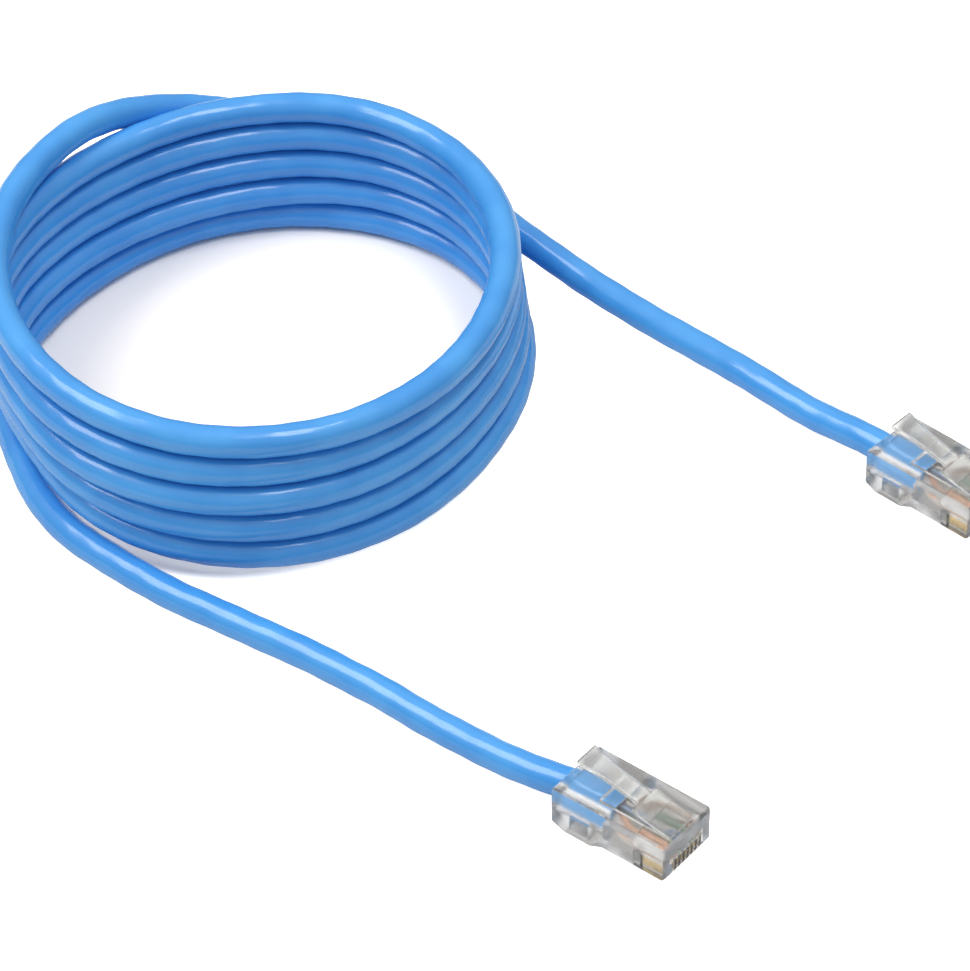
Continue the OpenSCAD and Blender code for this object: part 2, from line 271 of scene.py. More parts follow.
@dataclass(frozen=True)
class WireFinish:
    """Smooth insulation of one wire, with or without a stripe of a second colour."""

    name: str
    colour: Colour
    stripe: Colour | None = None

    def material(self) -> bpy.types.Material:
        """The insulation's material."""
        nodes = Nodes(self.name)
        shaded = [c * 0.86 for c in self.colour]
        base = nodes.mix(nodes.noise(700.0).between(0.3, 0.7), shaded, self.colour)
        if self.stripe is not None:
            base = nodes.mix(winding_stripe(nodes), base, self.stripe)
        nodes.set(Base_Color=base, Roughness=0.32 + 0.1 * nodes.noise(900.0))
        nodes.bump(nodes.noise(1500.0), 0.00002, 0.3)
        return nodes.material


@dataclass(frozen=True)
class PairFinish:
    """Insulation of a twisted pair: one plain strand, and one white strand with a stripe."""

    name: str
    colour: Colour
    white: Colour = linear(236, 232, 224)

    def material(self) -> bpy.types.Material:
        """The insulation's material, which tells the two strands apart."""
        nodes = Nodes(self.name)
        striped = nodes.mix(winding_stripe(nodes), self.white, self.colour)
        plain = nodes.along("strand").between(0.4, 0.6)
        nodes.set(Base_Color=nodes.mix(plain, striped, self.colour),
                  Roughness=0.34 + 0.1 * nodes.noise(900.0))
        nodes.bump(nodes.noise(1500.0), 0.00002, 0.3)
        return nodes.material


@dataclass(frozen=True)
class GoldFinish:
    """Gold plating with faint draw marks."""

    colour: Colour = (0.91, 0.66, 0.27)

    def material(self) -> bpy.types.Material:
        """The plating's material."""
        nodes = Nodes("gold_plating")
        wear = nodes.noise(1800.0, 4.0)
        worn = [c * 0.72 for c in self.colour]
        nodes.set(Base_Color=nodes.mix(wear.between(0.45, 0.8), self.colour, worn), Metallic=1.0,
                  Roughness=0.2 + 0.18 * wear)
        nodes.bump(nodes.noise(3000.0), 0.00001, 0.4)
        return nodes.material


# ------------------------------------------------------------
# Meshes
# ------------------------------------------------------------


def new_object(name: str, mesh: bpy.types.Mesh,
               material: bpy.types.Material | None = None) -> bpy.types.Object:
    """Puts a mesh in the scene as an object at the origin.

    Args:
        name: the object's name.
        mesh: the object's mesh.
        material: where given, the mesh's only material.

    Returns:
        The object.
    """
    piece = bpy.data.objects.new(name, mesh)
    bpy.context.scene.collection.objects.link(piece)
    if material is not None:
        mesh.materials.clear()
        mesh.materials.append(material)
    return piece


def smooth_faces(mesh: bpy.types.Mesh, angle: float = 35.0) -> None:
    """Shades a mesh smooth, apart from its sharp edges.

    Args:
        mesh: the mesh to shade.
        angle: how many degrees make an edge sharp.
    """
    for polygon in mesh.polygons:
        polygon.use_smooth = True
    mesh.set_sharp_from_angle(angle=math.radians(angle))


def reaches(path: Sequence[Vector], unit: float = 1.0) -> list[float]:
    """Measures a line.

    Args:
        path: the line's points, in metres.
        unit: the unit of the result, in metres.

    Returns:
        How far along the line each point lies, from 0.
    """
    far = [0.0]
    for a, b in zip(path, path[1:]):
        far.append(far[-1] + (b - a).length / unit)
    return far


def across_line(path: Sequence[Vector], i: int) -> tuple[Vector, Vector]:
    """Finds the directions across a line.

    Args:
        path: the line's points.
        i: the number of the point to look at.

    Returns:
        The level direction and the upward one, both at right angles to the line.
    """
    ahead = (path[min(i + 1, len(path) - 1)] - path[max(i - 1, 0)]).normalized()
    side = ahead.cross(UP).normalized()
    return side, side.cross(ahead)


def tube_mesh(name: str, path: Sequence[Vector],
              outline: Callable[[int, float], tuple[float, float]],
              sides: int, bore: float, bore_depth: int) -> bpy.types.Mesh:
    """Sweeps an outline along a path, with a blind bore in each end.

    Args:
        name: the mesh's name.
        path: the points of the middle line.
        outline: gives the sideways and upward reach, for a point's number and an angle.
        sides: how many corners the outline has.
        bore: the bore's share of the outline.
        bore_depth: how many points deep the bore goes.

    Returns:
        The mesh, with its angle round the tube and its length along it stored on the points.
    """
    last = len(path) - 1
    far = reaches(path)
    verts: list[Vector] = []
    rounds: list[float] = []
    fars: list[float] = []

    def ring(i: int, share: float) -> list[int]:
        """Adds a ring at point i, with a share of the outline, and returns its points' numbers."""
        side, above = across_line(path, i)
        start = len(verts)
        for k in range(sides):
            angle = math.tau * k / sides
            x, y = outline(i, angle)
            verts.append(path[i] + (side * x + above * y) * share)
            rounds.append(angle)
            fars.append(far[i])
        return list(range(start, start + sides))

    skin = [ring(i, 1.0) for i in range(last + 1)]
    rings = [ring(i, bore) for i in range(bore_depth, -1, -1)] + skin
    rings += [ring(i, bore) for i in range(last, last - bore_depth - 1, -1)]
    faces = [(a[k], a[(k + 1) % sides], b[(k + 1) % sides], b[k])
             for a, b in zip(rings, rings[1:]) for k in range(sides)]
    faces += [tuple(reversed(rings[0])), tuple(rings[-1])]
    mesh = bpy.data.meshes.new(name)
    mesh.from_pydata([tuple(v) for v in verts], [], faces)
    for label, values in (("round", rounds), ("far", fars)):
        mesh.attributes.new(label, "FLOAT", "POINT").data.foreach_set("value", values)
    shell = bmesh.new()
    shell.from_mesh(mesh)
    bmesh.ops.recalc_face_normals(shell, faces=shell.faces)
    shell.to_mesh(mesh)
    shell.free()
    smooth_faces(mesh, 50.0)
    return mesh


def smooth_line(points: Sequence[Vector], step: float, passes: int = 3) -> list[Vector]:
    """A smooth line through points, with new points a step apart.

    Args:
        points: what the line goes through.
        step: distance between the new points, in metres.
        passes: how often the new points are eased towards their neighbours.

    Returns:
        The new points, with the ends where they were.
    """
    fine: list[Vector] = []
    padded = [points[0] * 2 - points[1], *points, points[-1] * 2 - points[-2]]
    for p0, p1, p2, p3 in zip(padded, padded[1:], padded[2:], padded[3:]):
        t1 = (p1 - p0).length ** 0.5
        t2 = t1 + (p2 - p1).length ** 0.5
        t3 = t2 + (p3 - p2).length ** 0.5
        count = max(2, math.ceil((p2 - p1).length / (step / 3)))    # finer than asked at first
        for j in range(count):
            t = t1 + (t2 - t1) * j / count
            a1 = p0 * ((t1 - t) / t1) + p1 * (t / t1)
            a2 = p1 * ((t2 - t) / (t2 - t1)) + p2 * ((t - t1) / (t2 - t1))
            a3 = p2 * ((t3 - t) / (t3 - t2)) + p3 * ((t - t2) / (t3 - t2))
            b1 = a1 * ((t2 - t) / t2) + a2 * (t / t2)
            b2 = a2 * ((t3 - t) / (t3 - t1)) + a3 * ((t - t1) / (t3 - t1))
            fine.append(b1 * ((t2 - t) / (t2 - t1)) + b2 * ((t - t1) / (t2 - t1)))
    fine.append(points[-1].copy())
    reach = reaches(fine)
    count = round(reach[-1] / step)
    even: list[Vector] = []
    j = 0
    for i in range(count + 1):
        want = reach[-1] * i / count
        while j < len(fine) - 2 and reach[j + 1] < want:
            j += 1
        share = (want - reach[j]) / max(reach[j + 1] - reach[j], 1e-12)
        even.append(fine[j].lerp(fine[j + 1], min(1.0, share)))
    for _ in range(passes):
        eased = [(a + b * 2 + c) / 4 for a, b, c in zip(even, even[1:], even[2:])]
        even = [even[0], *eased, even[-1]]
    return even


# ------------------------------------------------------------
# The cord
# ------------------------------------------------------------


def smooth_step(t: float) -> float:
    """0 below 0, 1 above 1 and smooth in between."""
    c = min(max(t, 0.0), 1.0)
    return c * c * (3 - 2 * c)


def rise(angle: float, start: float, end: float) -> float:
    """0 before start, 1 after end and smooth in between."""
    return smooth_step((angle - start) / (end - start))


@dataclass(frozen=True)
class PlugPlace:
    """Where one plug's cable end stands on the plane, and which way its nose points."""

    end: str
    x: float
    y: float
    turn: float
    dip: Point2 = (0.0, 0.0)

    def point(self, along: float, across: float, up: float) -> Vector:
        """A point of the plug's own frame, in millimetres, as a place in metres."""
        a = math.radians(self.turn)
        return Vector((self.x + along * math.cos(a) - across * math.sin(a),
                       self.y + along * math.sin(a) + across * math.cos(a), up)) * MM

    def matrix(self) -> Matrix:
        """From the plug's own frame in metres to the object's."""
        turned = Matrix.Rotation(math.radians(self.turn), 4, "Z")
        return Matrix.Translation((self.x * MM, self.y * MM, 0)) @ turned


NEAR = PlugPlace("near", -34.1, -31.4, -38.2, (-0.6, -0.45))
FAR = PlugPlace("far", 17.9, 45.0, -42.5)


@dataclass(frozen=True)
class CordRoute:
    """The middle line of the cord, in millimetres and degrees.

    Angles run on from turn to turn, from the far stretch at the top of the coil
    down to the near one, and pairs of angles are where a change starts and ends.
    """

    radius: float = 2.6
    pitch: float = 5.3
    turns: int = 5
    coil_r: float = 41.2
    oval: float = 0.11
    oval_way: float = 66.0
    middle: Point2 = (-84.5, 65.8)
    lean: Point2 = (1.05, -0.73)            # each turn against the one above it
    start: float = 46.0
    end: float = 2033.0
    coil_step: float = 5.0
    slack: tuple[float, ...] = (0, 0, 1, 1.6, 1.3, 0.7, 0.9)
    slack_way: float = 225.0
    right_out: tuple[float, ...] = (0, 3.1, 1.6, 0.9, 0, -0.2, 0)
    right_way: float = 325.0
    left_out: tuple[float, ...] = (0, 5.4, 6.2, 7.3, 7.6, 0)
    left: tuple[float, float, float] = (87.0, 168.0, 218.0)
    down: Point2 = (189.0, 373.0)           # where each turn sinks to the next level
    exit_h: float = 9.5                     # the far stretch, where it leaves the coil
    steep_to: float = 136.0
    gentle: Point2 = (84.0, 143.0)
    gentle_climb: float = 4.9
    climb_out: float = 6.45
    over: Point2 = (149.0, 231.0)
    aside: Point2 = (1861.0, 1970.0)        # where the near stretch leaves the lowest turn
    aside_out: float = 8.1
    back_to: float = 2010.0
    back_in: float = 4.5
    near_points: tuple[tuple[float, float, float], ...] = (
        (-97, 12.1, 0), (-91.9, 8.9, 0), (-84.2, 4, 0), (-75.7, -1.3, 0), (-68.4, -6.5, 0),
        (-63.4, -10.2, 0), (-57.4, -15.3, 0), (-51.3, -20, 0), (-44.6, -24.7, 0.05))
    far_points: tuple[tuple[float, float, float], ...] = (
        (-31.6, 83.9, 6), (-24.8, 78.9, 4.4), (-18.3, 74.5, 3), (-12, 70.4, 1.8),
        (-5.4, 65.9, 0.8), (0.9, 60.5, 0.2), (7.1, 54.6, 0.2))
    lead_in: float = 4.0
    plug_depths: tuple[float, ...] = (0, 1.2, 4.8, JACKET_DEPTH)

    def turns_down(self, angle: float) -> float:
        """Finds the cord's level.

        Args:
            angle: the angle along the coil.

        Returns:
            How many turns the cord is below the top.
        """
        if angle < self.down[0]:
            return 0.0
        whole = math.floor((angle - self.down[0]) / 360)
        return min(whole + rise(angle - 360 * whole, *self.down), self.turns)

    def pushed(self, angle: float, amounts: Sequence[float], way: float, power: int) -> float:
        """Finds how far a turn is pushed out round one direction.

        Args:
            angle: the angle along the coil.
            amounts: the push at each pass of the direction, from the one before the start.
            way: the direction.
            power: how narrow the push is.

        Returns:
            A distance, 0 on the coil's other half.
        """
        amount = amounts[math.floor((angle + 450 - way) / 360)]
        return amount * max(0.0, math.cos(math.radians(angle - way))) ** power

    def coil_point(self, angle: float) -> Vector:
        """Finds a point of the coil.

        Args:
            angle: the angle along the coil.

        Returns:
            The cord's middle, in metres.
        """
        down = self.turns_down(angle)
        climb = self.turns * self.pitch + self.radius - self.exit_h
        height = (self.radius + (self.turns - down) * self.pitch
                  - (climb - self.gentle_climb) * (1 - rise(angle, self.start, self.steep_to))
                  - self.gentle_climb * (1 - rise(angle, *self.gentle)))
        out = (self.climb_out * (1 - rise(angle, *self.over))
               + self.aside_out * rise(angle, *self.aside)
               - self.back_in * rise(angle, self.aside[1], self.back_to)
               + self.pushed(angle, self.slack, self.slack_way, 1)
               + self.pushed(angle, self.right_out, self.right_way, 2)
               + self.left_out[int(angle // 360)] * rise(angle % 360, *self.left[:2])
               * (1 - rise(angle % 360, *self.left[1:])))
        oval = self.oval * math.cos(math.radians(2 * (angle - self.oval_way)))
        reach = self.coil_r * (1 + oval) + out
        level = max(down, 1.0) - 1
        a = math.radians(angle)
        return Vector((self.middle[0] + self.lean[0] * level + reach * math.cos(a),
                       self.middle[1] + self.lean[1] * level + reach * math.sin(a), height)) * MM

    def coil(self) -> list[Vector]:
        """The coil's points, from the far stretch to the near one."""
        whole = self.end - self.start
        count = round(whole / self.coil_step)
        return [self.coil_point(self.start + whole * i / count) for i in range(count + 1)]

    def plug_end(self, place: PlugPlace) -> list[Vector]:
        """Points from a free stretch into its plug, to the end of the jacket."""
        across, down = place.dip
        return [place.point(-self.lead_in, across, CORD_Z + down),
                *(place.point(x, 0, CORD_Z) for x in self.plug_depths)]

    def lifted(self, points: Sequence[tuple[float, float, float]]) -> list[Vector]:
        """Route points with their heights measured from the plane."""
        return [Vector((x, y, z + self.radius)) * MM for x, y, z in points]

    def line(self, step: float) -> list[Vector]:
        """The whole middle line, from the jacket's end in the far plug to that in the near one."""
        inlet = [*self.lifted(self.far_points), *self.plug_end(FAR)]
        outlet = [*self.lifted(self.near_points), *self.plug_end(NEAR)]
        return smooth_line([*reversed(inlet), *self.coil(), *outlet], step * MM)


@dataclass
class Cord:
    """The one blue jacket, round outside the plugs and pressed flat inside them."""

    route: CordRoute = field(default_factory=CordRoute)
    step: float = 1.3
    sides: int = 30
    bore: float = 0.76
    bore_depth: int = 4
    press_from: float = -0.2
    press_over: float = 2.2
    wave: float = 0.07

    def pressed(self, depth: float) -> float:
        """How far the jacket is pressed, from 0 to 1, at a depth in millimetres in a plug."""
        return smooth_step((depth - self.press_from) / self.press_over)

    def ripple(self, s: float, angle: float) -> float:
        """The shape of the faint waves where the pairs press on the jacket from inside.

        Args:
            s: how far along the cord, in millimetres.
            angle: the way round it, in radians.

        Returns:
            The reach of the surface, as a share of the waves' height.
        """
        return (math.sin(s / 0.95 + 2 * angle + math.sin(s / 17)) * 0.5
                + math.sin(s / 2.3 - 3 * angle + 1) * 0.3
                + math.sin(s / 5.3 + angle + 2 + 2 * math.sin(s / 23)) * 0.4 - 0.5)

    def build(self) -> None:
        path = self.route.line(self.step)
        length = reaches(path)[-1]
        far = reaches(path, MM)
        round_r = self.route.radius
        flat_r = PRESSED[1] / 2
        spread = (PRESSED[0] - PRESSED[1]) / 2

        def outline(i: int, angle: float) -> Point2:
            """The jacket's edge at point i and at an angle, as its reach sideways and up."""
            press = max(self.pressed(JACKET_DEPTH - far[i]),
                        self.pressed(far[i] - far[-1] + JACKET_DEPTH))
            r = round_r + (flat_r - round_r) * press
            r += self.wave * (1 - press) * self.ripple(far[i], angle)
            x = r * math.cos(angle) + spread * press * max(-1.0, min(1.0, 3 * math.cos(angle)))
            return x * MM, r * math.sin(angle) * MM

        mesh = tube_mesh("cord_jacket", path, outline, self.sides, self.bore, self.bore_depth)
        piece = new_object("cord_jacket", mesh, JacketFinish(length).material())
        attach(piece, CABLE_BODY)
        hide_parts("near_lead", "coil", "far_lead", "near_jacket_end", "far_jacket_end")
        tuple(FAR.point(0, 0, CORD_Z))
        2 * round_r * MM
        LOG.info("cord_jacket: %.3f m long", length)


# ------------------------------------------------------------
# Tubes that follow a line
# ------------------------------------------------------------


class TubeTree(Tree):
    """A Geometry Nodes tree that turns lines of points into round tubes.

    Its inputs are the tube's radius, its number of sides and its material. It
    stores the way round the tube and the way along it, for stripes.
    """

    def __init__(self) -> None:
        """Builds the tree."""
        super().__init__(bpy.data.node_groups.new("tube_along_line", "GeometryNodeTree"))
        face = self.tree.interface
        face.new_socket("Geometry", in_out="INPUT", socket_type="NodeSocketGeometry")
        self.radius = face.new_socket("Radius", in_out="INPUT", socket_type="NodeSocketFloat")
        self.sides = face.new_socket("Sides", in_out="INPUT", socket_type="NodeSocketInt")
        self.material = face.new_socket("Material", in_out="INPUT",
                                        socket_type="NodeSocketMaterial")
        face.new_socket("Geometry", in_out="OUTPUT", socket_type="NodeSocketGeometry")
        inputs = self.node("NodeGroupInput")
        line = self.node("GeometryNodeMeshToCurve", {}, {"Mesh": inputs.outputs["Geometry"]})
        along = self.node("GeometryNodeSplineParameter")
        line = self.stored("far", line.outputs["Curve"], along.outputs["Length"])
        ring = self.node("GeometryNodeCurvePrimitiveCircle", {}, {
            "Resolution": inputs.outputs["Sides"], "Radius": inputs.outputs["Radius"]})
        turn = self.node("GeometryNodeSplineParameter")
        angle = self.node("ShaderNodeMath", {"operation": "MULTIPLY"},
                          {0: turn.outputs["Factor"], 1: math.tau})
        ring = self.stored("round", ring.outputs["Curve"], angle.outputs[0])
        tube = self.node("GeometryNodeCurveToMesh", {}, {
            "Curve": line.outputs["Geometry"], "Profile Curve": ring.outputs["Geometry"],
            "Fill Caps": True})
        smooth = self.node("GeometryNodeSetShadeSmooth", {}, {"Geometry": tube.outputs["Mesh"]})
        whole = self.node("GeometryNodeRealizeInstances", {},
                          {"Geometry": smooth.outputs["Geometry"]})
        dressed = self.node("GeometryNodeSetMaterial", {}, {
            "Geometry": whole.outputs["Geometry"], "Material": inputs.outputs["Material"]})
        self.node("NodeGroupOutput", {}, {"Geometry": dressed.outputs["Geometry"]})

    def stored(self, name: str, geometry: bpy.types.NodeSocket,
               value: bpy.types.NodeSocket) -> bpy.types.Node:
        """Stores a number on the points under a name."""
        return self.node("GeometryNodeStoreNamedAttribute",
                         {"data_type": "FLOAT", "domain": "POINT"},
                         {"Geometry": geometry, "Name": name, "Value": value})

    def piece(self, name: str, lines: Sequence[Sequence[Vector]], radius: float, sides: int,
              material: bpy.types.Material) -> bpy.types.Object:
        """Runs the tree on lines of points.

        Args:
            name: the new piece's name.
            lines: one or more lines, in metres.
            radius: the tubes' radius, in metres.
            sides: the tubes' number of sides.
            material: the tubes' material.

        Returns:
            The finished piece, a plain mesh at the origin.
        """
        verts = [tuple(p) for line in lines for p in line]
        edges: list[tuple[int, int]] = []
        start = 0
        for line in lines:
            edges += [(i, i + 1) for i in range(start, start + len(line) - 1)]
            start += len(line)
        mesh = bpy.data.meshes.new(name + "_line")
        mesh.from_pydata(verts, edges, [])
        mesh.attributes.new("strand", "FLOAT", "POINT").data.foreach_set(
            "value", [float(k) for k, line in enumerate(lines) for _ in line])
        guide = new_object(name + "_line", mesh)
        modifier = guide.modifiers.new("tube", "NODES")
        modifier.node_group = self.tree
        modifier[self.radius.identifier] = radius
        modifier[self.sides.identifier] = sides
        modifier[self.material.identifier] = material
        made = baked(guide, name)
        bpy.data.objects.remove(guide)
        return new_object(name, made)


def mesh_of(solid: bmesh.types.BMesh, name: str) -> bpy.types.Mesh:
    """Turns a solid into a mesh and frees it.

    Args:
        solid: the solid.
        name: the mesh's name.

    Returns:
        The mesh.
    """
    mesh = bpy.data.meshes.new(name)
    solid.to_mesh(mesh)
    solid.free()
    return mesh


def baked(piece: bpy.types.Object, name: str) -> bpy.types.Mesh:
    """Applies an object's modifiers.

    Args:
        piece: the object.
        name: the new mesh's name.

    Returns:
        The finished mesh. The object stays as it was.
    """
    depsgraph = bpy.context.evaluated_depsgraph_get()
    depsgraph.update()
    mesh = bpy.data.meshes.new_from_object(piece.evaluated_get(depsgraph),
                                           depsgraph=depsgraph)
    mesh.name = name
    return mesh


@dataclass
class TwistedPairs:
    """The four twisted pairs in the jacket, each of two insulated wires."""

    route: CordRoute
    step: float = 1.3
    twist: float = 15.0          # the length of one twist of the first pair
    twist_more: float = 1.3      # how much longer each next pair's is
    strand_r: float = 0.33
    sides: int = 7
    spread: float = 1.6          # the sideways offset where a plug presses the cord
    spread_over: float = 6.0
    past_jacket: float = 0.2
    ways: dict[str, tuple[int, int]] = field(default_factory=lambda: {
        "orange": (1, 0), "green": (0, -1), "blue": (0, 1), "brown": (-1, 0)})

    def build(self) -> None:
        """Makes one piece of each pair, from one plug to the other."""
        path = self.route.line(self.step)
        tree = TubeTree()
        inside = JACKET_DEPTH + self.past_jacket
        far = reaches(path, MM)
        for number, (name, (across, up)) in enumerate(self.ways.items()):
            lines: list[list[Vector]] = [[], []]
            for i, point in enumerate(path):
                side, above = across_line(path, i)
                depth = max(inside - far[i], far[i] - far[-1] + inside)
                spread = smooth_step(depth / self.spread_over)
                out = PAIR_OFFSET + (self.spread - PAIR_OFFSET) * spread
                middle = point + (side * across * out + above * up * PAIR_OFFSET) * MM
                angle = math.tau * far[i] / (self.twist + number * self.twist_more)
                for k, line in enumerate(lines):
                    swing = angle + k * math.pi
                    away = side * math.cos(swing) + above * math.sin(swing)
                    line.append(middle + away * self.strand_r * MM)
            finish = PairFinish(f"{name}_pair_insulation", INSULATION[name]).material()
            piece = tree.piece(f"{name}_strands", lines, self.strand_r * MM, self.sides, finish)
            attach(piece, CABLE_BODY)
            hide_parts(f"{name}_pair")
            LOG.info("%s: two strands", piece.name)


# ------------------------------------------------------------
# The plugs
# ------------------------------------------------------------


class Axis(Enum):
    """The direction in which a prism is drawn out of its outline."""

    X = 0
    Y = 1
    Z = 2


def prism(outline: Sequence[Point2], axis: Axis, low: float, high: float) -> bmesh.types.BMesh:
    """Draws an outline out into a solid, in millimetres.

    Args:
        outline: corners in the two other directions, in the order x, y, z.
        axis: the direction of drawing.
        low: where the solid starts.
        high: where it ends.

    Returns:
        The solid.
    """
    def corner(p: Point2, at: float) -> Vector:
        """A corner with the drawing direction put in."""
        values = list(p)
        values.insert(axis.value, at)
        return Vector(values)

    return lofted([[corner(p, at) for p in outline] for at in (low, high)])


def block(x0: float, x1: float, width: float, z0: float, z1: float,
          y: float = 0.0) -> bmesh.types.BMesh:
    """A box in a plug's own frame, in millimetres, whose middle is y beside the plug's."""
    return prism([(x0, y - width / 2), (x1, y - width / 2),
                  (x1, y + width / 2), (x0, y + width / 2)], Axis.Z, z0, z1)


def arc(middle: Point2, radius: float, start: float, end: float, count: int) -> list[Point2]:
    """Points on an arc of count steps, with its start and end in degrees."""
    angles = [math.radians(start + (end - start) * k / count) for k in range(count + 1)]
    return [(middle[0] + radius * math.cos(a), middle[1] + radius * math.sin(a)) for a in angles]


def rounded(width: float, height: float, radius: float, middle: Point2 = (0.0, 0.0),
            count: int = 4) -> list[Point2]:
    """Outlines a rectangle with round corners.

    Args:
        width: the first size.
        height: the second size.
        radius: the corners' radius.
        middle: the rectangle's middle.
        count: how many steps each corner has.

    Returns:
        The outline's points.
    """
    w, h = width / 2 - radius, height / 2 - radius
    points: list[Point2] = []
    for k, (sx, sy) in enumerate(((1, 1), (-1, 1), (-1, -1), (1, -1))):
        corner = (middle[0] + sx * w, middle[1] + sy * h)
        points += arc(corner, radius, 90 * k, 90 * k + 90, count)
    return points


def bevelled(solid: bmesh.types.BMesh, width: float) -> bmesh.types.BMesh:
    """Rounds the sharp edges of a solid a little.

    Args:
        solid: the solid, which is changed.
        width: how far from each edge the rounding starts.

    Returns:
        The same solid.
    """
    sharp = math.radians(25.0)
    solid.normal_update()
    edges = [e for e in solid.edges if e.is_manifold and e.calc_face_angle(0) > sharp]
    bmesh.ops.bevel(solid, geom=edges, offset=width, segments=2, profile=0.5, affect="EDGES",
                    clamp_overlap=True)
    return solid


def lofted(sections: Sequence[Sequence[Vector]]) -> bmesh.types.BMesh:
    """Joins cross-sections into a closed solid.

    Args:
        sections: cross-sections of equal numbers of points.

    Returns:
        The solid.
    """
    solid = bmesh.new()
    rows = [[solid.verts.new(p) for p in section] for section in sections]
    n = len(rows[0])
    for a, b in zip(rows, rows[1:]):
        for k in range(n):
            solid.faces.new((a[k], a[(k + 1) % n], b[(k + 1) % n], b[k]))
    solid.faces.new(rows[0])
    solid.faces.new(rows[-1])
    bmesh.ops.recalc_face_normals(solid, faces=solid.faces)
    return solid


@dataclass
class ClearPlastics:
    """The clear materials, shared by both plugs."""

    body: bpy.types.Material = field(default_factory=lambda: ClearFinish(
        "clear_body_plastic").material())
    latch: bpy.types.Material = field(default_factory=lambda: ClearFinish(
        "clear_latch_plastic", (0.93, 0.94, 0.93), 0.16).material())
    bar: bpy.types.Material = field(default_factory=lambda: ClearFinish(
        "clear_bar_plastic", (0.92, 0.92, 0.92), 0.25).material())


def wire_insulation() -> dict[str, bpy.types.Material]:
    """The eight wires' materials, by the slots' names and in the order of the plug's ways."""
    white = linear(244, 238, 232)
    made: dict[str, bpy.types.Material] = {}
    for name in ("white_orange", "orange", "white_green", "blue",
                 "white_blue", "green", "white_brown", "brown"):
        colour = INSULATION[name.removeprefix("white_")]
        tints = (white, colour) if name.startswith("white_") else (colour,)
        made[f"{name}_wire"] = WireFinish(f"{name}_insulation", *tints).material()
    return made


